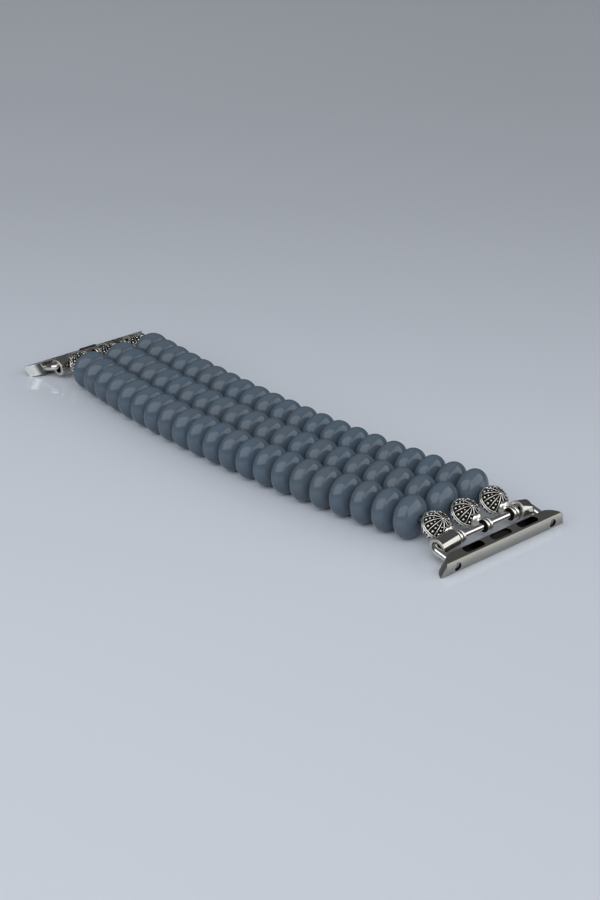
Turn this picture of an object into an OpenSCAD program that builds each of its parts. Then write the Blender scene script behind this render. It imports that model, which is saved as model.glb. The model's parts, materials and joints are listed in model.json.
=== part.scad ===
// Beaded watch band: three elastic strands of stone beads between two slide-in lugs.
// Sizes are in millimetres. +X runs along the band to the near lug, +Y goes from the front strand
// to the back strand and +Z is up. The origin is on the table, under the middle of the whole band.

/* [Stone beads] */
// Outside diameter of a stone bead
bead_d = 7.3; // [6:0.1:7.8]
// Length of a bead along its strand
bead_len = 4.18; // [3.6:0.02:4.6]
// Radius of the rounded rim of a bead
bead_rim_r = 1.5; // [1.1:0.05:1.7]
// Diameter of the hole through a bead
bead_bore = 1.2; // [1.05:0.05:1.6]
// Play between one bead and the next on a strand
bead_gap = 0.12; // [0.1:0.01:0.3]
// Rows of beads from one end to the other
rows = 21; // [17:2:25]

/* [Strand layout] */
// Play between neighbouring strands at the middle of the band
mid_play = 0.45; // [0.1:0.05:1.5]
// Play between neighbouring strands at the last row of beads
end_play = 0.04; // [0.02:0.02:0.6]
// How far the middle of the strands bows towards the front
bow = 3.5; // [0:0.1:5]
// Sideways step of the strands from the far row to the near row, towards the front
skew = 5.9; // [0:0.1:7]
// Sideways place of the strands, halfway between their ends
strand_y = -0.85; // [-2:0.05:1]

/* [Elastic cord] */
// Diameter of the cord as it lies stretched in the beads
cord_d = 0.9; // [0.6:0.05:1]
// Diameter of the knot that ends the cord inside an end bead
knot_d = 1.7; // [1.3:0.05:1.9]

/* [Silver end beads] */
// Diameter of an end bead at its equator bands
ball_d = 5.1; // [4.6:0.05:5.2]
// Height of one dome above the equator
ball_dome = 2.25; // [1.8:0.02:2.3]
// Thickness of each of the two equator bands
band_d = 0.28; // [0.2:0.02:0.4]
// Tilt of the domes away from upright, towards the bar
ball_tilt = 40; // [0:1:60]
// Height of an end bead's centre above the table
ball_z = 3.35; // [3:0.05:3.5]
// Diameter of the hollow that holds the knot
hollow_d = 2.3; // [2:0.05:2.6]
// Thickness of the shank between an end bead and its ring
shank_d = 1.25; // [1:0.05:1.5]
// Width of the ring along the bar
ring_w = 1.3; // [1.1:0.05:1.5]
// Wall of the ring between its two ridges
ring_wall = 0.32; // [0.2:0.02:0.5]
// Thickness of each ridge of the ring
ridge_d = 0.6; // [0.5:0.02:0.7]
// Distance along the band from an end bead's centre to the bar
ring_reach = 4.07; // [4.15:0.01:4.6]
// How far the three rings sit off the middle of their bar, towards the short sleeve
ring_shift = 0.9; // [0.6:0.05:1.2]
// Number of raised ribs on each dome
ribs = 12; // [8:2:16]
// Width of a rib
rib_w = 0.26; // [0.18:0.02:0.36]
// Height of a rib above the dome
rib_h = 0.09; // [0.05:0.01:0.12]

/* [Wire bails] */
// Diameter of the bail wire
wire_d = 1.2; // [1:0.05:1.4]
// Running play all round the wire in a ring
wire_play = 0.07; // [0.03:0.01:0.1]
// Half the distance between the two legs of a bail
leg_half = 11.3; // [11:0.05:11.5]
// Bend radius of the wire at its middle line
bend_r = 0.75; // [0.7:0.05:0.9]
// Height of the bar above the table
bar_z = 2.5; // [2.3:0.05:2.7]

/* [Spacer sleeves] */
// Outside diameter of a sleeve
sleeve_d = 3.3; // [2.8:0.05:3.6]
// Inside diameter of a sleeve
sleeve_bore = 2; // [1.9:0.05:2.3]
// Length of the short sleeve on each bar
short_sleeve = 2.4; // [1.8:0.05:2.5]
// Length of the long sleeve on each bar
long_sleeve = 4.0; // [3:0.05:4.5]
// Share of its play that each sleeve droops by at its outer end
sleeve_droop = 0.6; // [0:0.05:0.9]

/* [Lugs] */
// Half the length of a lug at its top face
lug_half = 13.5; // [13:0.05:14]
// How far each end of a lug leans out from its top face to its bottom
end_lean = 0.9; // [0:0.05:1.2]
// Radius in plan of a lug's rounded ends
nose_r = 3.1; // [2.6:0.1:3.6]
// Radius in plan of the tips beyond them
tip_r = 0.7; // [0.4:0.1:0.9]
// Thickness of a lug
lug_t = 2.2; // [2:0.05:2.4]
// Distance from the bar to the lug's inner face
lug_in = 2.98; // [2.9:0.01:3.02]
// Distance from the bar to the crown of the lug's outer face
lug_out = 5.38; // [5.3:0.01:5.6]
// Radius of the lug's rounded outer face
lug_face_r = 1.9; // [1.7:0.05:3]
// How far the crown of the outer face lies below mid thickness
crown_drop = 0.25; // [0:0.05:0.3]
// Sideways place of each lug from the middle of the whole band
lug_shift = 4; // [0:0.05:5]
// Length of each window in a lug
slot_len = 4.6; // [4.3:0.05:4.8]
// Width of each window in a lug
slot_w = 1.4; // [1.2:0.05:1.45]
// Distance between the windows' middles
slot_pitch = 6.4; // [5.8:0.01:6.6]
// Distance from the bar to the windows' middle line
slot_x = 3.74; // [3.72:0.01:3.8]

/* [Leg screws] */
// Diameter of a screw head
screw_head_d = 1.3; // [1.1:0.05:1.5]
// Height of a screw head
screw_head_h = 0.5; // [0.35:0.05:0.6]
// Depth of the head's face below the crown of the lug
screw_sunk = 0.35; // [0.2:0.05:0.5]
// Diameter of a screw's shank
screw_d = 0.6; // [0.5:0.05:0.7]
// Length of a screw's shank in the leg
screw_grip = 0.9; // [0.5:0.05:1.2]

/* [Lock] */
// Length of the lock button's nose
button_len = 3.9; // [3:0.05:4]
// Width of the lock button's nose
button_w = 0.75; // [0.6:0.05:0.8]
// How far the button stands proud of the lug
button_proud = 0.34; // [0.2:0.02:0.38]
// Thickness of the button's flange
flange_t = 0.32; // [0.2:0.02:0.4]
// Thickness of the ledge that holds the button in
ledge_t = 0.4; // [0.3:0.02:0.5]
// Thickness of the lock spring's leaf
leaf_t = 0.1; // [0.06:0.01:0.12]
// Depth of the cover plate below the lug's face
plate_sunk = 0.4; // [0.2:0.05:0.5]
// Thickness of the cover plate
plate_t = 0.3; // [0.2:0.02:0.4]

/* [Hidden] */
$fn = 64;
eps = 0.01;
fit = 0.02;
side_names = ["near", "far"];
strand_names = ["front", "middle", "back"];

// Strands
pitch = bead_len + bead_gap;
middle_row = (rows + 1) / 2;
half_run = (rows - 1) / 2 * pitch;
bead_r = bead_d / 2;
bead_h = bead_len / 2;
mid_spacing = bead_d + mid_play;
end_spacing = bead_d + end_play;
strand_z = bead_r;

// The face of a bead is a shallow dome that runs into the rim a little inside it.
rim_x = bead_r - bead_rim_r;
face_r = (pow(rim_x, 2) + pow(bead_h, 2) - pow(bead_rim_r, 2)) / (2 * (bead_h - bead_rim_r));
face_tilt = atan(rim_x / (face_r - bead_h));
face_edge = rim_x + bead_rim_r * sin(face_tilt);
dome_ease = 0.985;

// Bar, rings and sleeves
bar_end = leg_half - bend_r;
sleeve_out = leg_half - wire_d / 2 - 0.1;
ring_side = 0.3;
nose_len = sqrt(pow(nose_r, 2) - pow(nose_r - lug_out + lug_in, 2));
ring_spacing = sleeve_out - short_sleeve - ring_w / 2 - ring_side - ring_shift;
ring_bore = wire_d + 2 * wire_play;
ball_spacing = (end_spacing + ring_spacing) / 2;

// End beads
ball_r = ball_d / 2;
dome_edge = ball_r - band_d * 0.3;
dome_r = (pow(dome_edge, 2) + pow(ball_dome, 2)) / (2 * ball_dome);
dome_c = dome_r - ball_dome;
ball_reach = dome_r + rib_h - dome_c * sin(ball_tilt);
ball_x = half_run + bead_h + bead_gap + ball_reach;
bar_x = ball_x + ring_reach;

// Lugs
lug_h = lug_t / 2;
face_c = lug_out - lug_face_r;
crease_x = face_c + sqrt(pow(lug_face_r, 2) - pow(lug_h + crown_drop, 2));
foot_x = face_c + sqrt(pow(lug_face_r, 2) - pow(lug_h - crown_drop, 2));
screw_face = lug_out - screw_sunk;
screw_seat = screw_face - screw_head_h;
leg_end = screw_seat - 0.25;

// A lug lies with its lowest corner on the table.
near_lay = min(
    lay_angle(slot_x + button_w / 2, lug_h + button_proud),
    lay_angle(foot_x, lug_h));
far_lay = lay_angle(crease_x, lug_h);

function row_name(i) = str("bead_row_", i < 10 ? "0" : "", i);
function side_sign(e) = e == "near" ? 1 : -1;
function strand_sign(s) = s == "front" ? -1 : s == "back" ? 1 : 0;
function lay_angle(reach, half) = asin(bar_z / norm([reach, half])) - atan2(half, reach);

// Plan of the strands: one parabola for the middle strand, and a fan that narrows to the ends
function run(x) = x / half_run;
function mid_line(x) = strand_y - skew / 2 * run(x) - bow * (1 - pow(run(x), 2));
function mid_slope(x) = (-skew / 2 + 2 * bow * run(x)) / half_run;
function spacing(x) = end_spacing + (mid_spacing - end_spacing) * (1 - pow(run(x), 2));
function spacing_slope(x) = -2 * (mid_spacing - end_spacing) * run(x) / half_run;
function row_x(i) = (i - middle_row) * pitch;
function bead_at(i, k) = [row_x(i), mid_line(row_x(i)) + k * spacing(row_x(i)), strand_z];
function bead_turn(i, k) = atan(mid_slope(row_x(i)) + k * spacing_slope(row_x(i)));

// Places at one end: e is 1 for the near end and -1 for the far end, k is the strand
function ball_at(e, k) = [e * ball_x, mid_line(e * ball_x) + k * ball_spacing, ball_z];
function lug_y(e) = -e * lug_shift;
function ring_y(e, k) = lug_y(e) + e * ring_shift + k * ring_spacing;
function ring_at(e, k) = [e * bar_x, ring_y(e, k), bar_z];
function last_row(e) = e > 0 ? rows : 1;
function cord_exit(e, k) = bead_at(last_row(e), k) + e * bead_h * strand_dir(last_row(e), k);
function strand_dir(i, k) = [cos(bead_turn(i, k)), sin(bead_turn(i, k)), 0];
function unit(v) = v / norm(v);

// One bead on its own axis, which is +Z here
module bead() {
    rotate_extrude()
        difference() {
            union() {
                translate([rim_x, 0]) circle(bead_rim_r);
                intersection() {
                    translate([0, bead_h - face_r * dome_ease]) circle(face_r * dome_ease);
                    translate([0, face_r * dome_ease - bead_h]) circle(face_r * dome_ease);
                    translate([0, -bead_len]) square([face_edge, 2 * bead_len]);
                }
            }
            translate([-bead_d, -bead_len]) square([bead_d + bead_bore / 2, 2 * bead_len]);
        }
}

// A row: one bead on each of the three strands
module bead_row(i) {
    color("slategray")
        for (k = [-1:1])
            translate(bead_at(i, k)) rotate([0, 90, bead_turn(i, k)]) bead();
}

// The cord's route from the far knot to the near knot, with its radius at each point
knot_profile = [[-0.9, 0.55], [-0.55, 0.9], [0, 1], [0.55, 0.9], [0.9, 0.45]];
function knot_run(e, k) = [
    for (i = [0:4])
        let (p = knot_profile[e > 0 ? i : 4 - i])
        [ball_at(e, k) + [e * p[0] * knot_d / 2, 0, 0], p[1] * knot_d / 2]];
function cord_run(k) = concat(
    knot_run(-1, k),
    [[cord_exit(-1, k), cord_d / 2]],
    [for (i = [1:rows]) [bead_at(i, k), cord_d / 2]],
    [[cord_exit(1, k), cord_d / 2]],
    knot_run(1, k));

// A tube along the route: one ring of points across X at each of its places
module cord(k) {
    sides = $fn / 8;
    route = cord_run(k);
    count = len(route);
    points = [
        for (p = route, a = [0:sides - 1])
            p[0] + p[1] * [0, cos(a * 360 / sides), sin(a * 360 / sides)]];
    walls = [
        for (i = [0:count - 2], a = [0:sides - 1])
            let (b = (a + 1) % sides, p = i * sides, q = p + sides)
            each [[p + a, p + b, q + b], [p + a, q + b, q + a]]];
    ends = [
        for (a = [1:sides - 2])
            each [[0, a + 1, a], [0, a, a + 1] + (count - 1) * sides * [1, 1, 1]]];
    color("gainsboro") polyhedron(points, concat(walls, ends));
}

module domes(swell) {
    intersection_for (c = [-1, 1])
        translate([0, 0, c * dome_c]) rotate([90, 0, 0]) sphere(dome_r + swell);
}

// The ribbed domes and the two equator bands of an end bead, poles on Z
module ball() {
    domes(0);
    intersection() {
        domes(rib_h);
        difference() {
            for (i = [1:ribs / 2])
                rotate([0, 0, (i - 0.5) * 360 / ribs]) cube([ball_d, rib_w, ball_d], center = true);
            cube([2 * ball_d, 2 * ball_d, band_d * 1.3], center = true);
        }
    }
    for (c = [-1, 1])
        translate([0, 0, c * band_d * 0.6])
            rotate_extrude() translate([ball_r - band_d / 2, 0]) circle(band_d / 2);
}

// The double-ridged ring, its axis on Z
module ring_body() {
    rotate_extrude() {
        translate([ring_bore / 2 - 0.1, -ring_w / 2]) square([ring_wall + 0.1, ring_w]);
        for (c = [-1, 1])
            translate([ring_bore / 2 + ring_wall - ridge_d / 8, c * (ring_w - ridge_d) / 2])
                circle(ridge_d / 2);
    }
}

// A cylinder from one point to another
module rod(from, to, d) {
    v = to - from;
    translate(from)
        rotate([0, acos(v[2] / norm(v)), atan2(v[1], v[0])])
            cylinder(d = d, h = norm(v));
}

module end_bead(e, k) {
    centre = ball_at(e, k);
    ring = ring_at(e, k);
    entry = centre + 2 * ball_r * unit(cord_exit(e, k) - centre);
    color("silver")
        difference() {
            union() {
                translate(centre) rotate([0, e * ball_tilt, 0]) ball();
                rod(centre, ring, shank_d);
                translate(ring) rotate([90, 100, 0]) ring_body();
            }
            translate(centre) rotate([0, 0, 90]) sphere(d = hollow_d);
            rod(centre, entry, bead_bore);
            translate(ring) rotate([90, 0, 0]) cylinder(d = ring_bore, h = 2 * ring_w, center = true);
        }
}

// Puts a lug or bail drawn about the bar in its place: local +X points away from the beads, local
// +Z is the lug's top. The far one is turned end for end and lies with its top down.
module at_end(e) {
    translate([e * bar_x, lug_y(e), bar_z])
        if (e > 0) rotate([0, near_lay, 0]) children();
        else rotate([0, 180 - far_lay, 0]) children();
}

// A flat plate with round ends along Y, from z_low up
module oblong(length, width, z_low, height) {
    translate([0, 0, z_low]) {
        translate([-width / 2, -(length - width) / 2, 0]) cube([width, length - width, height]);
        for (c = [-1, 1])
            translate([0, c * (length - width) / 2, 0]) cylinder(d = width, h = height);
    }
}

// The wire bail: a bar, two bends and two legs, each leg drilled for its screw
module bail(e) {
    color("silver")
        at_end(e)
            difference() {
                union() {
                    rotate([90, 0, 0]) cylinder(d = wire_d, h = 2 * bar_end, center = true);
                    for (c = [-1, 1]) {
                        translate([bend_r, c * bar_end, 0])
                            rotate([0, 0, c > 0 ? 90 : 180])
                                rotate_extrude(angle = 90) translate([bend_r, 0]) circle(d = wire_d);
                        translate([bend_r, c * leg_half, 0])
                            rotate([0, 90, 0]) cylinder(d = wire_d, h = leg_end - bend_r);
                    }
                }
                for (c = [-1, 1])
                    translate([screw_seat - screw_grip - screw_d / 2, c * leg_half, 0])
                        rotate([0, 90, 0]) cylinder(d = screw_d + 2 * fit, h = screw_grip + wire_d);
            }
}

// A spacer sleeve, c being its side of the bar. It hangs on the wire with its outer end low.
module sleeve(e, c) {
    edge = 0.12;
    wall = (sleeve_d - sleeve_bore) / 2;
    long = c == e ? short_sleeve : long_sleeve;
    play = (sleeve_bore - wire_d) / 2 - 0.06;
    droop = asin(2 * sleeve_droop * play / long);
    color("gainsboro")
        translate([e * bar_x, lug_y(e) + c * (sleeve_out - long / 2), bar_z - (1 - sleeve_droop) * play])
            rotate([90 - c * droop, 0, 0])
                rotate_extrude()
                    translate([sleeve_bore / 2, -long / 2])
                        polygon([
                            [0, edge], [edge, 0], [wall - edge, 0], [wall, edge],
                            [wall, long - edge], [wall - edge, long],
                            [edge, long], [0, long - edge]]);
}

// The lug's section: flat top and bottom, and an outer face that swells
module lug_section() {
    intersection() {
        translate([lug_in, -lug_h]) square([lug_out, lug_t]);
        union() {
            translate([face_c, -crown_drop]) circle(lug_face_r);
            translate([lug_in - lug_t, -lug_h]) square([face_c - lug_in + lug_t, lug_t]);
        }
    }
}

// What is cut off the +Y end of a lug: all that lies outside its rounded nose, which starts at y at
// mid thickness and leans out by lean from top to bottom
module nose_cut(y, lean) {
    slack = 0.05;
    size = 4 * lug_t;
    translate([lug_in, y, 0])
        rotate([atan(lean / lug_t), 0, 0])
            linear_extrude(2 * size, center = true)
                difference() {
                    translate([-lug_t, 0]) square(size);
                    intersection() {
                        translate([nose_r - slack, 0]) circle(nose_r);
                        union() {
                            translate([-lug_t, -lug_t]) square([lug_out - lug_in - tip_r + lug_t, size]);
                            translate([0, -lug_t]) square([size, nose_len - tip_r + lug_t]);
                            translate([lug_out - lug_in - tip_r, nose_len - tip_r]) circle(tip_r);
                        }
                    }
                }
}

module lug(e) {
    color("dimgray")
        at_end(e)
            difference() {
                rotate([90, 0, 0])
                    linear_extrude(2 * (lug_half + end_lean + 0.5), center = true) lug_section();
                for (m = [0, 1]) mirror([0, m, 0]) nose_cut(lug_half + end_lean / 2 - nose_len, end_lean);
                for (c = [-1, 1]) {
                    translate([slot_x, c * slot_pitch, 0]) oblong(slot_len, slot_w, -lug_t, 2 * lug_t);
                    translate([0, c * leg_half, 0]) rotate([0, 90, 0]) {
                        cylinder(d = wire_d + 2 * fit, h = leg_end + fit);
                        cylinder(d = screw_d + 4 * fit, h = lug_out);
                        translate([0, 0, screw_seat - fit]) cylinder(d = screw_head_d + 0.1, h = lug_out);
                    }
                }
                translate([slot_x, 0, 0]) {
                    oblong(slot_len, slot_w, ledge_t - lug_h, lug_t);
                    oblong(button_len + 0.1, button_w + 0.1, -lug_t, lug_t);
                }
            }
}

// The two slotted screws that hold a bail's legs in its lug
module leg_screws(e) {
    slot = 0.22;
    color("lightgray")
        at_end(e)
            for (c = [-1, 1])
                translate([0, c * leg_half, 0]) rotate([0, 90, 0])
                    difference() {
                        union() {
                            translate([0, 0, screw_seat]) cylinder(d = screw_head_d, h = screw_head_h);
                            translate([0, 0, screw_seat - screw_grip]) cylinder(d = screw_d, h = screw_grip + 0.1);
                        }
                        translate([-screw_head_d, -slot / 2, screw_face - slot])
                            cube([2 * screw_head_d, slot, 2 * slot]);
                    }
}

// Heights inside the lock, measured in the lug's own thickness
flange_z = ledge_t - lug_h + fit;
plate_z = lug_h - plate_sunk - plate_t;
leaf_rise = plate_z - flange_z - flange_t - 2 * fit;

module lock_button(e) {
    color("black")
        at_end(e)
            translate([slot_x, 0, 0]) {
                oblong(button_len, button_w, -lug_h - button_proud, button_proud + ledge_t + fit + eps);
                oblong(slot_len - 0.1, slot_w - 0.1, flange_z, flange_t);
            }
}

// An arched leaf between the button's flange and the cover plate
module lock_spring(e) {
    span = button_len / 2;
    outer = (pow(span, 2) + pow(leaf_rise, 2)) / (2 * leaf_rise);
    color("silver")
        at_end(e)
            translate([slot_x, 0, flange_z + flange_t + fit])
                rotate([90, 0, 90])
                    linear_extrude(button_w, center = true)
                        intersection() {
                            translate([0, leaf_rise - outer])
                                difference() {
                                    circle(outer);
                                    circle(outer - leaf_t);
                                }
                            translate([-span, 0]) square([2 * span, leaf_rise + leaf_t]);
                        }
}

module lock_plate(e) {
    color("black")
        at_end(e)
            translate([slot_x, 0, 0])
                oblong(slot_len - 2 * fit, slot_w - 2 * fit, plate_z, plate_t);
}

for (i = [1:rows])
    bead_row(i);
for (s = strand_names)
    cord(strand_sign(s));
for (e = side_names, s = strand_names)
    end_bead(side_sign(e), strand_sign(s));
for (e = side_names)
    bail(side_sign(e));
for (e = side_names, s = ["front", "back"])
    sleeve(side_sign(e), strand_sign(s));
for (e = side_names)
    lug(side_sign(e));
for (e = side_names)
    leg_screws(side_sign(e));
for (e = side_names)
    lock_button(side_sign(e));
for (e = side_names)
    lock_spring(side_sign(e));
for (e = side_names)
    lock_plate(side_sign(e));
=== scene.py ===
"""A three-strand beaded watch band, laid out on a pale glossy table.

The CAD frame gives every place and every moving body. This script dresses it: the stone beads, the
cast end beads and the sleeves get finer meshes, and the wire, lugs and locks get their finishes.
Sizes are in millimetres until a mesh is written, and then in metres.
"""

from __future__ import annotations

import json
import logging
import math
import random
from dataclasses import dataclass
from enum import Enum, IntEnum
from typing import Callable, Sequence

import bmesh
import bpy
from mathutils import Matrix, Vector

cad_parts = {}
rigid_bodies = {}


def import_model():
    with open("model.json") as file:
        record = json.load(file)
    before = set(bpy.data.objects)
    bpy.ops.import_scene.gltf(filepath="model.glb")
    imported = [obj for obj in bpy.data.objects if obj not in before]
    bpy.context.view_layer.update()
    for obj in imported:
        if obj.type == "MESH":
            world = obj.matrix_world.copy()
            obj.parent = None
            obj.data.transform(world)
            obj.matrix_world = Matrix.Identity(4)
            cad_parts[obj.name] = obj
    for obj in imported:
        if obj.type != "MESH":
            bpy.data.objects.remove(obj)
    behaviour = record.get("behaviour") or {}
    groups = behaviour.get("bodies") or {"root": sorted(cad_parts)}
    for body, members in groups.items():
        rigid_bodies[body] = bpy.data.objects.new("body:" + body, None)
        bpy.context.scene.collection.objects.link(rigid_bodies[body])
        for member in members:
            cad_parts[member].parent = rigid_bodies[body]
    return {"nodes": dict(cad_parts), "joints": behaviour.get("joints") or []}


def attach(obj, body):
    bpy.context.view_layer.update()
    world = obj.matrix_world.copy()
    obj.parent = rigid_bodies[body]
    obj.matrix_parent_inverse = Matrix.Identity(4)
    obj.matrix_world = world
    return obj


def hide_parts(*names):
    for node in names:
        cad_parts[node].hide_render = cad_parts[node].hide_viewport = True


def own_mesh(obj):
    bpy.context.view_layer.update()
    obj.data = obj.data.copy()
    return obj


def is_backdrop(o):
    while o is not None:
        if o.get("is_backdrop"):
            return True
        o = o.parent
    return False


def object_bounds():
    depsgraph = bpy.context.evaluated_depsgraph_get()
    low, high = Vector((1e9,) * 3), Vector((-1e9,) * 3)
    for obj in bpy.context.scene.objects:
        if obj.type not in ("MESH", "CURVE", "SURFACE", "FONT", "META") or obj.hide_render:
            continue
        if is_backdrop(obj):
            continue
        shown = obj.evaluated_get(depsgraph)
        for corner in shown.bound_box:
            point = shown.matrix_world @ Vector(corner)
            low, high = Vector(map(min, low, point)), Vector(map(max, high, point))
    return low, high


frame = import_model()
CAD_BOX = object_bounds()

LOG = logging.getLogger("band")
MM = 0.001
NOISE_SPAN = (0.3, 0.7)  # where most of a noise's values lie
MIX_FACTOR, MIX_A, MIX_B, MIX_RESULT = 0, 6, 7, 2  # a colour mix's sockets, which share their names
Colour = tuple[float, float, float]
Span = tuple[float, float]
Profile = Sequence[tuple[float, float]]
Inputs = dict[str | int, object]
Socket = bpy.types.NodeSocket
Material = bpy.types.Material
Piece = bpy.types.Object
Tones = float | Callable[[Vector], float]


def clamp(value: float) -> float:
    """Returns value held between 0 and 1."""
    return max(0.0, min(1.0, value))


class Tone(Enum):
    """How far a cast surface has been polished back from its black finish."""

    RECESS = 0.0
    BRIGHT = 1.0


class Place(IntEnum):
    """A place on the band, whose name stands in the names of nodes and pieces."""

    @property
    def label(self) -> str:
        """Returns the name as it stands there."""
        return self.name.lower()


class Side(Place):
    """The two ends of the band; the value is the sign of X there."""

    FAR = -1
    NEAR = 1


class Strand(Place):
    """The three strands of beads; the value counts them across, from front to back."""

    FRONT = -1
    MIDDLE = 0
    BACK = 1


def show(name: str, data: bpy.types.ID) -> Piece:
    """Returns a new object with this mesh, lamp or camera, linked to the scene."""
    made = bpy.data.objects.new(name, data)
    bpy.context.scene.collection.objects.link(made)
    return made


# Layout: the same plan as the CAD


@dataclass(frozen=True)
class BandPlan:
    """Where everything lies, in millimetres in the CAD frame.

    Clear is the gap kept between a sleeve and the leg beside it. The domes of an end bead end at
    a radius that is less than the ball's by edge_share of the equator bands' width.
    """

    rows: int = 21
    bead_d: float = 7.3
    bead_len: float = 4.18
    bead_gap: float = 0.12
    bead_bore: float = 1.2
    mid_play: float = 0.45
    end_play: float = 0.04
    bow: float = 3.5
    skew: float = 5.9
    strand_y: float = -0.85
    cord_d: float = 0.9
    ball_d: float = 5.1
    ball_dome: float = 2.25
    ball_band: float = 0.28
    ball_tilt: float = 40.0
    ball_z: float = 3.35
    rib_h: float = 0.09
    ring_reach: float = 4.07
    ring_w: float = 1.3
    ring_wall: float = 0.32
    ridge_d: float = 0.6
    ring_shift: float = 0.9
    ring_side: float = 0.3
    wire_d: float = 1.2
    leg_half: float = 11.3
    bar_z: float = 2.5
    sleeve_d: float = 3.3
    sleeve_bore: float = 2.0
    short_sleeve: float = 2.4
    long_sleeve: float = 4.0
    sleeve_droop: float = 0.6
    clear: float = 0.1
    edge_share: float = 0.3
    lug_shift: float = 4.0

    @property
    def pitch(self) -> float:
        """Distance along X from one row to the next."""
        return self.bead_len + self.bead_gap

    @property
    def half_run(self) -> float:
        """Distance along X from the middle row to the last row."""
        return (self.rows - 1) / 2 * self.pitch

    @property
    def dome_r(self) -> float:
        """Radius of the two spheres that make an end bead's domes."""
        edge = self.ball_d / 2 - self.ball_band * self.edge_share
        return (edge**2 + self.ball_dome**2) / (2 * self.ball_dome)

    @property
    def dome_c(self) -> float:
        """Distance of each dome's sphere centre from the equator."""
        return self.dome_r - self.ball_dome

    @property
    def ball_x(self) -> float:
        """Distance of the end beads' centres from the middle row."""
        reach = self.dome_r + self.rib_h - self.dome_c * math.sin(math.radians(self.ball_tilt))
        return self.half_run + self.bead_len / 2 + self.bead_gap + reach

    @property
    def bar_x(self) -> float:
        """Distance of the bars from the middle row."""
        return self.ball_x + self.ring_reach

    @property
    def sleeve_out(self) -> float:
        """Distance of a sleeve's outer end from the middle of its bar."""
        return self.leg_half - self.wire_d / 2 - self.clear

    @property
    def ring_spacing(self) -> float:
        """Distance from one ring to the next on a bar."""
        inner = self.sleeve_out - self.short_sleeve
        return inner - self.ring_w / 2 - self.ring_side - self.ring_shift

    def mid_line(self, x: float) -> float:
        """Returns the middle strand's Y at x."""
        run = x / self.half_run
        return self.strand_y - self.skew / 2 * run - self.bow * (1 - run**2)

    def spacing(self, x: float) -> float:
        """Returns the distance between strands at x."""
        run = x / self.half_run
        return self.bead_d + self.end_play + (self.mid_play - self.end_play) * (1 - run**2)

    def row_x(self, row: int) -> float:
        """Returns the X of a row, counted from 1 at the far end."""
        return (row - (self.rows + 1) / 2) * self.pitch

    def bead_at(self, row: int, strand: Strand) -> Vector:
        """Returns a bead's centre."""
        x = self.row_x(row)
        return Vector((x, self.mid_line(x) + strand * self.spacing(x), self.bead_d / 2))

    def bead_turn(self, row: int, strand: Strand) -> float:
        """Works out the strand's direction in plan at a bead.

        Args:
            row: the bead's row.
            strand: the bead's strand.

        Returns:
            The direction in radians from +X.
        """
        x, run = self.row_x(row), self.row_x(row) / self.half_run
        slope = (-self.skew / 2 + 2 * self.bow * run) / self.half_run
        fan = -2 * (self.mid_play - self.end_play) * run / self.half_run
        return math.atan(slope + strand * fan)

    def ball_at(self, side: Side, strand: Strand) -> Vector:
        """Returns an end bead's centre."""
        x = side * self.ball_x
        spacing = (self.bead_d + self.end_play + self.ring_spacing) / 2
        return Vector((x, self.mid_line(x) + strand * spacing, self.ball_z))

    def lug_y(self, side: Side) -> float:
        """Returns the Y of a lug's middle."""
        return -side * self.lug_shift

    def ring_at(self, side: Side, strand: Strand) -> Vector:
        """Returns the centre of an end bead's ring on its bar."""
        y = self.lug_y(side) + side * self.ring_shift + strand * self.ring_spacing
        return Vector((side * self.bar_x, y, self.bar_z))


PLAN = BandPlan()


# Materials


def around(middle: float, spread: float) -> Span:
    """Returns the span that reaches spread to both sides of middle."""
    return middle - spread, middle + spread


class NodeTree:
    """Shader nodes, with short calls for adding to them."""

    def __init__(self, tree: bpy.types.NodeTree) -> None:
        """Takes the tree that the nodes go into."""
        self.tree = tree

    def add(self, kind: str, inputs: Inputs | None = None, **settings: object) -> bpy.types.Node:
        """Adds a node.

        Args:
            kind: the node's type name.
            inputs: values or output sockets for its inputs, by name or index.
            settings: attributes to set on the node.

        Returns:
            The new node.
        """
        node = self.tree.nodes.new(kind)
        for key, value in settings.items():
            setattr(node, key, value)
        for key, value in (inputs or {}).items():
            self.put(node.inputs[key], value)
        return node

    def put(self, socket: Socket, value: object) -> None:
        """Links value to socket if it is an output, and else sets it as the default.

        Args:
            socket: the input to set.
            value: an output, a number or a colour.
        """
        if isinstance(value, Socket):
            self.tree.links.new(value, socket)
        else:
            socket.default_value = value

    def ramp(self, value: Socket, low: float, high: float, span: Span = (0.0, 1.0)) -> Socket:
        """Maps a value from a span to another, held at both ends.

        Args:
            value: the value.
            low: what the span's start becomes.
            high: what the span's end becomes.
            span: the values that it is mapped from.

        Returns:
            The mapped value.
        """
        node = self.add("ShaderNodeMapRange", {
            "Value": value, "From Min": span[0], "From Max": span[1], "To Min": low, "To Max": high,
        })
        return node.outputs["Result"]

    def mix(self, factor: object, a: object, b: object) -> Socket:
        """Mixes two colours.

        Args:
            factor: the share of b.
            a: a colour.
            b: a colour.

        Returns:
            The mixed colour.
        """
        node = self.add("ShaderNodeMix", data_type="RGBA")
        for index, value in ((MIX_FACTOR, factor), (MIX_A, a), (MIX_B, b)):
            if isinstance(value, tuple) and len(value) == 3:
                value = (*value, 1.0)
            self.put(node.inputs[index], value)
        return node.outputs[MIX_RESULT]

    def vectors(self, operation: str, a: object, b: object) -> bpy.types.Node:
        """Returns a vector node that works on a and b."""
        return self.add("ShaderNodeVectorMath", {0: a, 1: b}, operation=operation)


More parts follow.
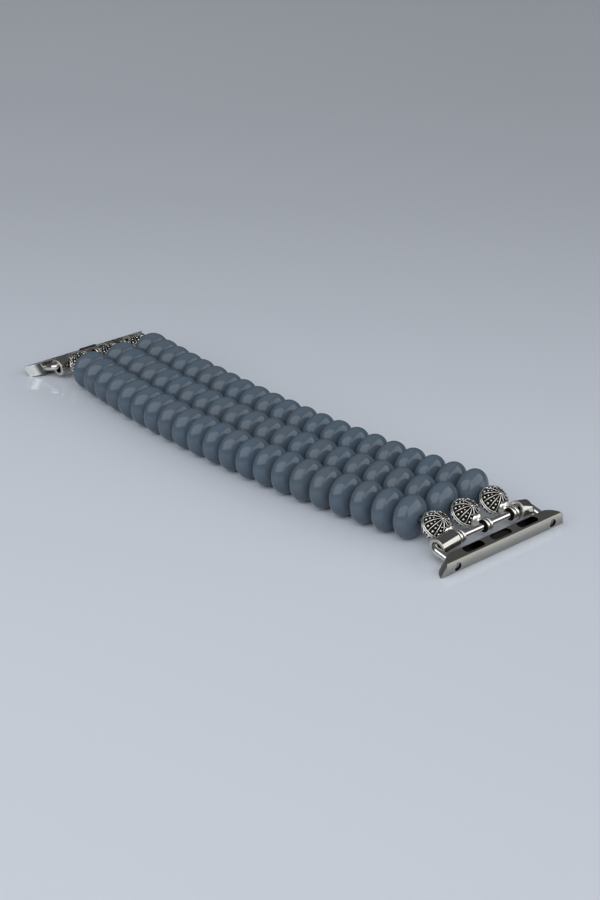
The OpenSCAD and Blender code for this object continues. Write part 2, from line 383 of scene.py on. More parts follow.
class Nodes(NodeTree):
    """A material with its principled shader."""

    def __init__(self, name: str) -> None:
        """Makes the material.

        Args:
            name: the material's name.
        """
        self.material = bpy.data.materials.new(name)
        self.material.use_nodes = True
        super().__init__(self.material.node_tree)
        self.shader = self.tree.nodes["Principled BSDF"]

    def set(self, **values: object) -> None:
        """Sets the principled shader's inputs, named with underscores for spaces."""
        for key, value in values.items():
            self.put(self.shader.inputs[key.replace("_", " ")], value)

    def local(self) -> Socket:
        """Returns the object coordinates in millimetres, so that noise scales read per millimetre."""
        coords = self.add("ShaderNodeTexCoord")
        inputs: Inputs = {"Vector": coords.outputs["Object"], "Scale": (1 / MM,) * 3}
        return self.add("ShaderNodeMapping", inputs).outputs["Vector"]

    def noise(self, vector: Socket, scale: float, detail: float = 3.0) -> Socket:
        """Returns a noise value over vector."""
        node = self.add("ShaderNodeTexNoise", {"Vector": vector, "Scale": scale, "Detail": detail})
        return node.outputs["Fac"]

    def streaks(self, vector: Socket, stretch: Colour, scale: float, detail: float) -> Socket:
        """Returns a noise value over vector, scaled by stretch so that it runs in streaks."""
        mapping = self.add("ShaderNodeMapping", {"Vector": vector, "Scale": stretch})
        return self.noise(mapping.outputs["Vector"], scale, detail)

    def bump(
        self, height: Socket, strength: float, distance: float, normal: Socket | None = None
    ) -> Socket:
        """Bumps the surface.

        Args:
            height: the height's value.
            strength: how strong the bump is, from 0 to 1.
            distance: how high it is, in millimetres.
            normal: the normal that it starts from, if not the surface's own.

        Returns:
            The bumped normal.
        """
        inputs: Inputs = {"Height": height, "Strength": strength, "Distance": distance * MM}
        if normal is not None:
            inputs["Normal"] = normal
        return self.add("ShaderNodeBump", inputs).outputs["Normal"]

    def attribute(self, name: str) -> Socket:
        """Returns a named attribute of the mesh as a value."""
        return self.add("ShaderNodeAttribute", attribute_name=name).outputs["Fac"]


@dataclass(frozen=True)
class StoneFinish:
    """Polished slate-blue stone with a soft, cloudy body and a slight spread of colour.

    In every finish, scale is a noise's scale per millimetre and detail its number of layers.
    """

    blue: Colour = (0.080, 0.113, 0.150)
    grey: Colour = (0.087, 0.112, 0.142)
    deep: Colour = (0.070, 0.096, 0.124)
    cloud_scale: float = 0.35
    cloud_detail: float = 4.0
    cloud_share: float = 0.35
    cloud_span: Span = (0.35, 0.75)
    roughness: float = 0.03
    roughness_spread: float = 0.02
    polish_scale: float = 1.4
    ior: float = 1.5
    specular: float = 0.36
    bump_scale: float = 0.6
    bump_detail: float = 2.0
    bump: float = 0.06
    bump_depth: float = 0.02

    def build(self) -> Material:
        """Returns the material."""
        n = Nodes("stone")
        vector = n.local()
        body = n.mix(n.attribute("tone"), self.blue, self.grey)
        cloudy = n.noise(vector, self.cloud_scale, self.cloud_detail)
        cloud = n.ramp(cloudy, 0.0, self.cloud_share, self.cloud_span)
        polish = around(self.roughness, self.roughness_spread)
        uneven = n.noise(vector, self.bump_scale, self.bump_detail)
        n.set(
            Base_Color=n.mix(cloud, body, self.deep),
            Roughness=n.ramp(n.noise(vector, self.polish_scale), *polish),
            IOR=self.ior,
            Specular_IOR_Level=self.specular,
            Normal=n.bump(uneven, self.bump, self.bump_depth),
        )
        return n.material


@dataclass(frozen=True)
class AntiqueSilverFinish:
    """Cast silver that is black in its recesses and polished on all that stands proud."""

    bright: Colour = (0.80, 0.78, 0.73)
    black: Colour = (0.010, 0.009, 0.008)
    wear: float = 0.12
    wear_scale: float = 2.4
    wear_detail: float = 4.0
    shown_span: Span = (0.25, 0.75)
    metallic: Span = (0.55, 1.0)
    roughness: Span = (0.6, 0.26)
    specular: float = 0.12
    bump_scale: float = 5.0
    bump: float = 0.1
    bump_depth: float = 0.03

    def build(self) -> Material:
        """Returns the material."""
        n = Nodes("antique_silver")
        vector = n.local()
        patches = n.noise(vector, self.wear_scale, self.wear_detail)
        wear = n.ramp(patches, -self.wear, self.wear, NOISE_SPAN)
        worn = n.add("ShaderNodeMath", {0: n.attribute("tone"), 1: wear}, operation="ADD")
        shown = n.ramp(worn.outputs[0], 0.0, 1.0, self.shown_span)
        n.set(
            Base_Color=n.mix(shown, self.black, self.bright),
            Metallic=n.ramp(shown, *self.metallic),
            Roughness=n.ramp(shown, *self.roughness),
            Specular_IOR_Level=self.specular,
            Normal=n.bump(n.noise(vector, self.bump_scale), self.bump, self.bump_depth),
        )
        return n.material


@dataclass(frozen=True)
class PolishedFinish:
    """Bright drawn metal with faint lengthwise scratches."""

    name: str
    colour: Colour = (0.74, 0.72, 0.69)
    roughness: float = 0.1
    roughness_shares: Span = (0.7, 1.5)
    stretch: Colour = (3.0, 0.25, 3.0)
    marks_scale: float = 3.0
    marks_detail: float = 4.0
    scratches: float = 0.06
    scratch_depth: float = 0.02

    def build(self) -> Material:
        """Returns the material."""
        n = Nodes(self.name)
        marks = n.streaks(n.local(), self.stretch, self.marks_scale, self.marks_detail)
        low, high = (self.roughness * share for share in self.roughness_shares)
        n.set(
            Base_Color=(*self.colour, 1.0),
            Metallic=1.0,
            Roughness=n.ramp(marks, low, high, NOISE_SPAN),
            Normal=n.bump(marks, self.scratches, self.scratch_depth),
        )
        return n.material


@dataclass(frozen=True)
class SleeveFinish:
    """Polished gunmetal with paler, brushed rims."""

    body: Colour = (0.50, 0.48, 0.45)
    rim: Colour = (0.62, 0.61, 0.57)
    body_roughness: float = 0.07
    rim_roughness: float = 0.38
    marks_scale: float = 4.0
    marks_detail: float = 4.0
    bump: float = 0.08
    bump_depth: float = 0.02

    def build(self) -> Material:
        """Returns the material."""
        n = Nodes("sleeve")
        tone = n.attribute("tone")
        marks = n.noise(n.local(), self.marks_scale, self.marks_detail)
        n.set(
            Base_Color=n.mix(tone, self.rim, self.body),
            Metallic=1.0,
            Roughness=n.ramp(tone, self.rim_roughness, self.body_roughness),
            Normal=n.bump(marks, self.bump, self.bump_depth),
        )
        return n.material


@dataclass(frozen=True)
class BrushedFinish:
    """Satin gunmetal, brushed along the lug, with eased edges, shade painted black into its slots and
    hollows, and a painted highlight on its nose.

    The nose setting is the share of the bright colour painted on the end face that looks to the front,
    as a painted highlight.
    """

    name: str
    colour: Colour = (0.345, 0.335, 0.305)
    # Bright is the colour of the painted highlight on the nose.
    bright: Colour = (0.86, 0.85, 0.81)
    # Black is the colour of the painted shade in the slots and hollows.
    black: Colour = (0.008, 0.007, 0.006)
    roughness: float = 0.4
    roughness_spread: Span = (-0.05, 0.08)
    # Share and facing span of the painted highlight on the front-facing end face.
    nose: float = 0.0
    nose_span: Span = (-0.6, -0.4)
    edge: float = 0.1
    # Reach in millimetres of the occlusion mask that paints shade, and the span it is mapped through.
    window: float = 1.8
    window_span: Span = (0.78, 0.95)
    stretch: Colour = (12.0, 0.5, 12.0)
    marks_scale: float = 1.6
    marks_detail: float = 5.0
    bump: float = 0.3
    bump_depth: float = 0.012
    samples: int = 8

    def build(self) -> Material:
        """Returns the material."""
        n = Nodes(self.name)
        marks = n.streaks(n.local(), self.stretch, self.marks_scale, self.marks_detail)
        soft = n.add("ShaderNodeBevel", {"Radius": self.edge * MM}, samples=self.samples)
        # Painted shade: an occlusion mask paints the lug's slots, hollows and tight corners black.
        reach: Inputs = {"Distance": self.window * MM}
        painted_shade_mask = n.add("ShaderNodeAmbientOcclusion", reach, samples=self.samples, only_local=True)
        normal = n.add("ShaderNodeNewGeometry").outputs["True Normal"]
        facing = n.add("ShaderNodeSeparateXYZ", {"Vector": normal})
        # Painted highlight: the end face that looks to the front is painted in the bright colour.
        end = n.ramp(facing.outputs["Y"], self.nose, 0.0, self.nose_span)
        steel_with_highlight = n.mix(end, self.colour, self.bright)
        low, high = (self.roughness + spread for spread in self.roughness_spread)
        n.set(
            Base_Color=n.mix(n.ramp(painted_shade_mask.outputs["AO"], 0.0, 1.0, self.window_span), self.black, steel_with_highlight),
            Metallic=1.0,
            Roughness=n.ramp(marks, low, high, NOISE_SPAN),
            Normal=n.bump(marks, self.bump, self.bump_depth, soft.outputs["Normal"]),
        )
        return n.material


@dataclass(frozen=True)
class PlasticFinish:
    """Plain dark plastic or rubber."""

    name: str
    colour: Colour
    roughness: float
    roughness_spread: float = 0.05
    polish_scale: float = 2.0
    bump_scale: float = 8.0
    bump: float = 0.1
    bump_depth: float = 0.01

    def build(self) -> Material:
        """Returns the material."""
        n = Nodes(self.name)
        vector = n.local()
        polish = around(self.roughness, self.roughness_spread)
        n.set(
            Base_Color=(*self.colour, 1.0),
            Roughness=n.ramp(n.noise(vector, self.polish_scale), *polish),
            Normal=n.bump(n.noise(vector, self.bump_scale), self.bump, self.bump_depth),
        )
        return n.material


@dataclass(frozen=True)
class TableFinish:
    """A pale, lightly glossy table top, with light and shade painted into its colour: it grows lighter
    and darker with distance and falls off from side to side.

    Away and across are directions on the table; reach is the run in millimetres along away that
    the stops of (share of the run, brightness) cover.
    """

    colour: Colour = (0.66, 0.695, 0.757)
    away: Colour = (-0.714, 0.700, 0.0)
    across: Colour = (0.700, 0.714, 0.0)
    reach: Span = (-140.0, 400.0)
    stops: tuple[Span, ...] = (
        (0.0, 1.01), (0.15, 1.05), (0.27, 1.05), (0.4, 0.97), (0.55, 0.9), (0.74, 0.93), (1.0, 1.05),
    )
    half_width: float = 75.0
    side: float = 0.045
    roughness: float = 0.045
    roughness_spread: float = 0.02
    polish_scale: float = 0.02
    specular: float = 0.55

    def build(self) -> Material:
        """Returns the material."""
        n = Nodes("table")
        vector = n.local()
        away = n.vectors("DOT_PRODUCT", vector, self.away)
        across = n.vectors("DOT_PRODUCT", vector, self.across)
        # Painted light and shade: the colour is made lighter and darker along the run away from the
        # front, and falls off from side to side.
        share = n.ramp(away.outputs["Value"], 0.0, 1.0, self.reach)
        painted_light_by_distance = n.add("ShaderNodeValToRGB", {"Fac": share})
        while len(painted_light_by_distance.color_ramp.elements) < len(self.stops):
            painted_light_by_distance.color_ramp.elements.new(0.5)
        for element, (place, level) in zip(painted_light_by_distance.color_ramp.elements, self.stops):
            element.position = place
            element.color = (level, level, level, 1.0)
        width = (-self.half_width, self.half_width)
        painted_light_across = n.ramp(across.outputs["Value"], 1 + self.side, 1 - self.side, width)
        level = n.vectors("MULTIPLY", painted_light_by_distance.outputs["Color"], painted_light_across)
        shade = n.vectors("MULTIPLY", level.outputs[0], self.colour)
        polish = around(self.roughness, self.roughness_spread)
        n.set(
            Base_Color=shade.outputs[0],
            Roughness=n.ramp(n.noise(vector, self.polish_scale), *polish),
            Specular_IOR_Level=self.specular,
        )
        return n.material


class Finishes:
    """Every material of the scene, built once."""

    def __init__(self) -> None:
        """Builds the materials."""
        self.stone = StoneFinish().build()
        self.silver = AntiqueSilverFinish().build()
        self.wire = PolishedFinish("wire").build()
        self.sleeve = SleeveFinish().build()
        # Both lugs have shade painted black into their slots and hollows.
        self.lug = BrushedFinish("lug_steel").build()
        # The far lug also has a painted highlight on its nose.
        self.far_lug = BrushedFinish("far_lug_steel", roughness=0.22, nose=1.0).build()
        self.screw = PolishedFinish("screw", roughness=0.34).build()
        self.black = PlasticFinish("black", (0.008, 0.007, 0.006), 0.42).build()
        self.cord = PlasticFinish("cord", (0.05, 0.055, 0.062), 0.4).build()
        self.table = TableFinish().build()


# Meshes


class Shape:
    """A mesh being built in millimetres, with a tone on each face."""

    dot_sides = 10
    dot_rings = 6
    steep = 0.95

    def __init__(self) -> None:
        """Starts with an empty mesh."""
        self.bm = bmesh.new()
        self.tone = self.bm.faces.layers.float.new("tone")

    def grid(self, rings: Sequence[Sequence[Vector]], tone: Tones, caps: bool = False) -> None:
        """Joins closed rings of points into a skin.

        Args:
            rings: rings with equally many points each.
            tone: the faces' tone, or a function that gives it from a face's middle.
            caps: whether the first and last rings are filled.
        """
        verts = [[self.bm.verts.new(p) for p in ring] for ring in rings]
        count = len(verts[0])
        faces = []
        for low, high in zip(verts, verts[1:]):
            for i in range(count):
                j = (i + 1) % count
                faces.append(self.bm.faces.new((low[i], low[j], high[j], high[i])))
        if caps:
            faces.append(self.bm.faces.new(verts[0][::-1]))
            faces.append(self.bm.faces.new(verts[-1]))
        for face in faces:
            face.smooth = True
            face[self.tone] = tone(face.calc_center_median()) if callable(tone) else tone

    def lathe(
        self, profile: Profile, place: Matrix, sides: int, tone: Tones = 1.0, loop: bool = False
    ) -> None:
        """Turns a profile of (radius, height) about Z and puts it in place.

        Args:
            profile: the points, in order along the outline.
            place: where local Z and the origin go.
            sides: points in each turn.
            tone: the faces' tone, or a function of a place in the finished frame.
            loop: whether the profile's last point joins its first.
        """
        points = list(profile) + ([profile[0]] if loop else [])
        rings = []
        for radius, height in points:
            rings.append([
                place @ Vector((radius * math.cos(a), radius * math.sin(a), height))
                for a in (math.tau * i / sides for i in range(sides))
            ])
        self.grid(rings, tone)

    def tube(self, path: Sequence[Vector], radii: Sequence[float], sides: int) -> None:
        """Sweeps a round section along a path and fills its ends flat.

        Args:
            path: the middle line's points.
            radii: the radius at each point.
            sides: points in each ring.
        """
        rings = []
        guide = Vector((0.0, 0.0, 1.0))
        for i, point in enumerate(path):
            ahead = (path[min(i + 1, len(path) - 1)] - path[max(i - 1, 0)]).normalized()
            if abs(ahead.dot(guide)) > self.steep:
                guide = Vector((1.0, 0.0, 0.0))
            across = ahead.cross(guide).normalized()
            upward = across.cross(ahead)
            guide = upward
            rings.append([
                point + radii[i] * (math.cos(a) * across + math.sin(a) * upward)
                for a in (math.tau * k / sides for k in range(sides))
            ])
        self.grid(rings, 1.0, caps=True)

    def dot(self, centre: Vector, radius: float, place: Matrix) -> None:
        """Adds a small bright ball, for a cast dot.

        Args:
            centre: its middle.
            radius: its radius.
            place: the frame that centre is in.
        """
        matrix = place @ Matrix.Translation(centre)
        made = bmesh.ops.create_uvsphere(
            self.bm, u_segments=self.dot_sides, v_segments=self.dot_rings, radius=radius, matrix=matrix
        )
        for face in {f for v in made["verts"] for f in v.link_faces}:
            face.smooth = True
            face[self.tone] = Tone.BRIGHT.value

    def finish(
        self, name: str, material: Material, body: str, sharp: float = 35.0
    ) -> Piece:
        """Writes the mesh as a piece that rides on a body.

        Args:
            name: the piece's name.
            material: its material.
            body: the CAD body that it moves with.
            sharp: the angle in degrees above which an edge stays sharp.

        Returns:
            The piece.
        """
        bmesh.ops.recalc_face_normals(self.bm, faces=self.bm.faces)
        bmesh.ops.scale(self.bm, vec=(MM,) * 3, verts=self.bm.verts)
        mesh = bpy.data.meshes.new(name)
        self.bm.to_mesh(mesh)
        self.bm.free()
        mesh.set_sharp_from_angle(angle=math.radians(sharp))
        mesh.materials.append(material)
        piece = show(name, mesh)
        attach(piece, body)
        LOG.info("%s: %d faces on %s", name, len(mesh.polygons), body)
        return piece


def along(start: Vector, end: Vector) -> Matrix:
    """Returns the frame at start whose Z points to end."""
    turn = (end - start).to_track_quat("Z", "Y").to_matrix().to_4x4()
    return Matrix.Translation(start) @ turn


def heading(turn: float) -> Vector:
    """Returns the level direction that lies turn radians from +X."""
    return Vector((math.cos(turn), math.sin(turn), 0.0))


# Pieces


@dataclass
class StoneRows:
    """The rows of stone beads, each with a slight spread of shape, lie and colour.

    Ease is the size of the rounding where a bead's face runs into its bore, and the three lip
    shares of it place the rounding's points. Least is the smallest share of the full size that a
    bead may have in each direction.
    """

    plan: BandPlan
    finishes: Finishes
    sides: int = 48
    steps: int = 20
    ease: float = 0.12
    lip_drop: float = 1.4
    lip_out: float = 0.35
    lip_rise: float = 0.4
    tilt: float = 1.2
    least: tuple[float, float, float] = (0.992, 0.992, 0.985)
    seed: int = 11

    def outline(self) -> Profile:
        """Draws a bead's profile.

        Returns:
            Its points: bore, near face, rim and far face, back to the bore.
        """
        plan, ease = self.plan, self.ease
        radius, half, bore = plan.bead_d / 2, plan.bead_len / 2, plan.bead_bore / 2
        start = math.acos((bore + ease) / radius)
        turns = [start * (1 - i / self.steps) for i in range(self.steps + 1)]
        points = [(radius * math.cos(a), half * math.sin(a)) for a in turns]
        face = points[0][1]
        lip = [
            (bore, 0.0),
            (bore, face - ease * self.lip_drop),
            (bore + ease * self.lip_out, face - ease * self.lip_rise),
        ]
        upper = lip + points
        lower = [(r, -h) for r, h in reversed(upper[1:-1])]
        return upper + lower

    def build(self) -> list[Piece]:
        """Makes one piece of three beads for each row.

        Returns:
            The pieces, from the far row to the near row.
        """
        draw = random.Random(self.seed)
        outline = self.outline()
        made = []
        for row in range(1, self.plan.rows + 1):
            shape = Shape()
            for strand in Strand:
                lie = Matrix.Rotation(math.radians(draw.uniform(-self.tilt, self.tilt)), 4, "Z")
                sizes = [draw.uniform(least, 1.0) for least in self.least]
                place = (
                    Matrix.Translation(self.plan.bead_at(row, strand))
                    @ Matrix.Rotation(self.plan.bead_turn(row, strand), 4, "Z")
                    @ lie
                    @ Matrix.Rotation(math.pi / 2, 4, "Y")
                    @ Matrix.Diagonal((*sizes, 1.0))
                )
                shape.lathe(outline, place, self.sides, draw.random(), loop=True)
            name = f"row_{row:02d}"
            piece = shape.finish(f"stones_{name}", self.finishes.stone, name, sharp=60.0)
            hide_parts(f"bead_{name}")
            made.append(piece)
        return made


@dataclass
class CordRuns:
    """The elastic cords, cut into one run for each row so that they bend with the band.

    Each run laps over the next by lap. Its ends narrow to end_share of its radius over a length
    of end_run times the radius.
    """

    plan: BandPlan
    finishes: Finishes
    sides: int = 14
    lap: float = 0.12
    end_share: float = 0.8
    end_run: float = 0.25
    clear: float = 0.05

    def run(self, shape: Shape, start: Vector, end: Vector) -> None:
        """Adds one length of cord with narrowed ends.

        Args:
            shape: the mesh that it goes into.
            start: its first end.
            end: its other end.
        """
        radius = self.plan.cord_d / 2
        step = (end - start).normalized() * radius * self.end_run
        tip = radius * self.end_share
        shape.tube([start, start + step, end - step, end], [tip, radius, radius, tip], self.sides)

    def build(self) -> list[Piece]:
        """Makes the cord runs of each row and of each set of end beads.

        Returns:
            The pieces.
        """
        plan = self.plan
        made = []
        for row in range(1, plan.rows + 1):
            shape = Shape()
            for strand in Strand:
                centre, turn = plan.bead_at(row, strand), plan.bead_turn(row, strand)
                half = heading(turn) * (plan.pitch / 2 / math.cos(turn) + self.lap)
                self.run(shape, centre - half, centre + half)
            name = f"row_{row:02d}"
            made.append(shape.finish(f"cords_{name}", self.finishes.cord, name))
        for side in Side:
            shape = Shape()
            row = plan.rows if side is Side.NEAR else 1
            for strand in Strand:
                way = heading(plan.bead_turn(row, strand)) * side
                start = plan.bead_at(row, strand) + way * (plan.bead_len / 2 + self.clear)
                self.run(shape, start, plan.ball_at(side, strand))
            body = f"{side.label}_end_beads"
            made.append(shape.finish(f"cords_{side.label}_end", self.finishes.cord, body))
        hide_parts("cord_front", "cord_middle", "cord_back")
        return made


@dataclass
class CastEndBead:
    """One cast end bead: two ribbed and dotted domes, equator bands, a shank and a ring.

    Dots are (share of the way from pole to equator, radius). Neck and collar are the shank's
    outline, as (radius, distance): from the ball's middle for the neck, and short of the ring's
    middle for the collar. Fields that end in share multiply the size that they belong to.
    """

    plan: BandPlan
    finishes: Finishes
    ribs: int = 12
    rib_r: float = 0.115
    rib_lay_share: float = 0.6
    rib_tip_share: float = 0.45
    rib_start: float = 0.08
    rib_run: float = 0.9
    rib_steps: int = 12
    rib_sides: int = 8
    sunk: float = 0.17
    dots: tuple[tuple[float, float], ...] = ((0.80, 0.245), (0.6, 0.19), (0.43, 0.135))
    dot_lay_share: float = 0.7
    boss_r: float = 0.24
    boss_sunk: float = 0.16
    pole_hole: float = 0.02
    dome_steps: int = 16
    band_r_share: float = 0.42
    band_place_share: float = 0.64
    band_steps: int = 12
    strand_roll: float = 7.0
    neck: Profile = (
        (1.12, 2.2), (1.12, 2.44), (1.02, 2.58), (0.86, 2.68), (0.72, 2.76), (0.64, 2.86), (0.6, 2.97),
    )
    collar: Profile = ((0.63, 1.15), (0.66, 1.0), (0.6, 0.85))
    shank_sides: int = 28
    ring_play: float = 0.07
    ring_lip: float = 0.08
    ring_steps: int = 28
    ring_sides: int = 56
    groove_rise: float = 0.06
    groove_fade: float = 0.12
    groove_tone: float = 0.2
    sides: int = 72

    def domes(self, shape: Shape, place: Matrix) -> None:
        """Adds the two dark domes with their ribs, dots and pole bosses.

        Args:
            shape: the mesh that they go into.
            place: the ball's place.
        """
        plan = self.plan
        top = math.acos(plan.dome_c / plan.dome_r)
        floor = plan.dome_r - self.sunk
        sweep = [top * i / self.dome_steps for i in range(1, self.dome_steps + 1)]
        for flip in (1, -1):
            pole = (self.pole_hole, (floor - plan.dome_c) * flip)
            skin = [(floor * math.sin(a), (floor * math.cos(a) - plan.dome_c) * flip) for a in sweep]
            shape.lathe([pole, *skin], place, self.sides, Tone.RECESS.value)
            for i in range(self.ribs):
                self.rib(shape, place, math.tau * (i + 0.5) / self.ribs, top, flip)
                for share, radius in self.dots:
                    a = top * share
                    out = plan.dome_r - radius * self.dot_lay_share
                    spot = Vector((math.sin(a), 0.0, math.cos(a))) * out
                    spot.z = (spot.z - plan.dome_c) * flip
                    spot.rotate(Matrix.Rotation(math.tau * i / self.ribs, 3, "Z"))
                    shape.dot(spot, radius, place)
            boss = Vector((0.0, 0.0, (plan.ball_dome - self.boss_sunk) * flip))
            shape.dot(boss, self.boss_r, place)

    def rib(self, shape: Shape, place: Matrix, turn: float, top: float, flip: int) -> None:
        """Adds one rib from the pole boss down to the equator bands.

        Args:
            shape: the mesh that it goes into.
            place: the ball's place.
            turn: its angle round the ball, in radians.
            top: the angle from pole to equator, in radians.
            flip: 1 for the outer dome, -1 for the inner one.
        """
        plan = self.plan
        path, radii = [], []
        lay = plan.dome_r - self.rib_r * self.rib_lay_share
        for i in range(self.rib_steps + 1):
            share = i / self.rib_steps
            a = top * (self.rib_start + self.rib_run * share)
            spot = Vector((lay * math.sin(a), 0.0, (lay * math.cos(a) - plan.dome_c) * flip))
            spot.rotate(Matrix.Rotation(turn, 3, "Z"))
            path.append(place @ spot)
            radii.append(self.rib_r * (self.rib_tip_share + (1 - self.rib_tip_share) * share))
        shape.tube(path, radii, self.rib_sides)

    def bands(self, shape: Shape, place: Matrix) -> None:
        """Adds the two bands round the equator, with a dark groove between them.

        Args:
            shape: the mesh that they go into.
            place: the ball's place.
        """
        plan = self.plan
        radius = plan.ball_band * self.band_r_share
        middle = plan.ball_d / 2 - radius
        for flip in (1, -1):
            height = flip * plan.ball_band * self.band_place_share
            band = [
                (middle + radius * math.cos(a), height + radius * math.sin(a))
                for a in (math.tau * i / self.band_steps for i in range(self.band_steps))
            ]
            shape.lathe(band, place, self.sides, loop=True)

    def shank(self, shape: Shape, ball: Vector, ring: Vector) -> None:
        """Adds the waisted shank.

        Args:
            shape: the mesh that it goes into.
            ball: the ball's middle.
            ring: the ring's middle.
        """
        reach = (ring - ball).length
        profile = [*self.neck, *((radius, reach - short) for radius, short in self.collar)]
        shape.lathe(profile, along(ball, ring), self.shank_sides, Tone.BRIGHT.value)

    def ring(self, shape: Shape, ring: Vector) -> None:
        """Adds the double-ridged ring about the bar.

        Args:
            shape: the mesh that it goes into.
            ring: the ring's middle.
        """
        plan = self.plan
        bore = plan.wire_d / 2 + self.ring_play
        body, ridge = bore + plan.ring_wall, plan.ridge_d / 2
        middle, offset = body - ridge / 4, plan.ring_w / 2 - ridge
        outer = []
        for i in range(self.ring_steps + 1):
            y = -plan.ring_w / 2 + plan.ring_w * i / self.ring_steps
            radius = body
            for c in (-offset, offset):
                if abs(y - c) < ridge:
                    radius = max(radius, middle + math.sqrt(ridge**2 - (y - c) ** 2))
            outer.append((radius, y))
        place = Matrix.Translation(ring) @ Matrix.Rotation(math.pi / 2, 4, "X")
        valley = body + self.groove_rise

        def tone(spot: Vector) -> float:
            """Returns a tone that is darker down in the groove and inside the bore."""
            out = math.hypot(spot.x - ring.x, spot.z - ring.z)
            return clamp((out - valley) / self.groove_fade + self.groove_tone)

        lips = (bore, outer[0][1] + self.ring_lip), (bore, outer[-1][1] - self.ring_lip)
        shape.lathe([lips[0], *outer, lips[1]], place, self.ring_sides, tone, loop=True)

    def build(self, side: Side, strand: Strand) -> Piece:
        """Makes one end bead.

        Args:
            side: the end of the band that it belongs to.
            strand: the strand that it closes.

        Returns:
            The piece.
        """
        ball, ring = self.plan.ball_at(side, strand), self.plan.ring_at(side, strand)
        shape = Shape()
        place = (
            Matrix.Translation(ball)
            @ Matrix.Rotation(side * math.radians(self.plan.ball_tilt), 4, "Y")
            @ Matrix.Rotation(math.radians(self.strand_roll * strand), 4, "Z")
        )
        self.domes(shape, place)
        self.bands(shape, place)
        self.shank(shape, ball, ring)
        self.ring(shape, ring)
        name = f"{side.label}_end_bead_{strand.label}"
        body = f"{side.label}_end_beads"
        piece = shape.finish(f"cast_{name}", self.finishes.silver, body, sharp=50.0)
        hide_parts(name)
        return piece


@dataclass
class Sleeves:
    """The loose sleeves on the bars, with eased rims.

    Clear is what each sleeve's play about the bar is short of the full one.
    """

    plan: BandPlan
    finishes: Finishes
    ease: float = 0.14
    ease_steps: int = 4
    clear: float = 0.06
    sides: int = 64

    def outline(self, length: float) -> Profile:
        """Draws the section of the wall, with rounded rims.

        Args:
            length: the sleeve's length.

        Returns:
            The section's points.
        """
        inner, outer = self.plan.sleeve_bore / 2 + self.ease, self.plan.sleeve_d / 2 - self.ease
        rim = length / 2 - self.ease
        points = []
        corners = ((outer, rim, 0.0), (inner, rim, 90.0), (inner, -rim, 180.0), (outer, -rim, 270.0))
        for r, h, start in corners:
            for i in range(self.ease_steps + 1):
                a = math.radians(start + 90.0 * i / self.ease_steps)
                points.append((r + self.ease * math.cos(a), h + self.ease * math.sin(a)))
        return points

    def tone(self, place: Matrix, length: float) -> Callable[[Vector], float]:
        """Returns a tone that marks the flat rims off from the turned body."""
        back = place.inverted()
        return lambda spot: float(abs((back @ spot).z) < length / 2 - self.ease / 2)

    def sleeve(self, side: Side, hand: Strand) -> Piece:
        """Makes one sleeve where it hangs.

        Args:
            side: the end of the band that its bar is at.
            hand: the outer strand that it lies beside.

        Returns:
            The piece.
        """
        plan = self.plan
        length = plan.short_sleeve if hand.value == side.value else plan.long_sleeve
        play = (plan.sleeve_bore - plan.wire_d) / 2 - self.clear
        droop = math.asin(2 * plan.sleeve_droop * play / length)
        centre = Vector((
            side * plan.bar_x,
            plan.lug_y(side) + hand * (plan.sleeve_out - length / 2),
            plan.bar_z - (1 - plan.sleeve_droop) * play,
        ))
        place = Matrix.Translation(centre) @ Matrix.Rotation(math.pi / 2 - hand * droop, 4, "X")
        shape = Shape()
        shape.lathe(self.outline(length), place, self.sides, self.tone(place, length), loop=True)
        name = f"{side.label}_sleeve_{hand.label}"
        piece = shape.finish(f"turned_{name}", self.finishes.sleeve, name)
        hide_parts(name)
        return piece

    def build(self) -> list[Piece]:
        """Makes the four sleeves.

        Returns:
            The pieces.
        """
        return [self.sleeve(side, hand) for side in Side for hand in (Strand.FRONT, Strand.BACK)]


@dataclass
class LockSprings:
    """The leaf springs of the locks, copied from their CAD nodes."""

    finishes: Finishes

    def build(self) -> list[Piece]:
        """Makes a leaf spring for each lock from its CAD node, and measures its thickness along the
        button's way.

        Returns:
            The pieces.
        """
        made = []
        for side in Side:
            name = f"{side.label}_lock_spring"
            node = frame["nodes"][name]
            joint = next(j for j in frame["joints"] if j["name"] == f"{side.label}_lock_press")
            press = Vector(joint["axis"]).normalized()
            reaches = [press.dot(v.co) for v in node.data.vertices]
            thick = max(reaches) - min(reaches)
            mesh = node.data.copy()
            mesh.materials.clear()
            mesh.materials.append(self.finishes.wire)
            piece = show(f"leaf_{name}", mesh)
            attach(piece, joint["parent"])
            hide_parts(name)
            1 - max(joint["range_m"]) / thick
            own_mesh(piece)
            LOG.info("%s: %.2f mm thick, flattens along its button's way", piece.name, thick / MM)
            made.append(piece)
        return made


@dataclass
class Hardware:
    """The CAD pieces that keep their own shape and only get a finish."""

    finishes: Finishes
    sharp: float = 30.0

    def dress(self) -> None:
        """Gives each kept CAD node its material and smooths its curved faces."""
        lugs = {Side.FAR: self.finishes.far_lug, Side.NEAR: self.finishes.lug}
        for side in Side:
            kinds = {
                "bail": self.finishes.wire,
                "lug": lugs[side],
                "leg_screws": self.finishes.screw,
                "lock_button": self.finishes.black,
                "lock_plate": self.finishes.black,
            }
            for kind, material in kinds.items():
                node = frame["nodes"][f"{side.label}_{kind}"]
                node.data.materials.clear()
                node.data.materials.append(material)
                for face in node.data.polygons:
                    face.use_smooth = True
                node.data.set_sharp_from_angle(angle=math.radians(self.sharp))
                LOG.info("%s: CAD node with %s", node.name, material.name)


# Set, lights and camera


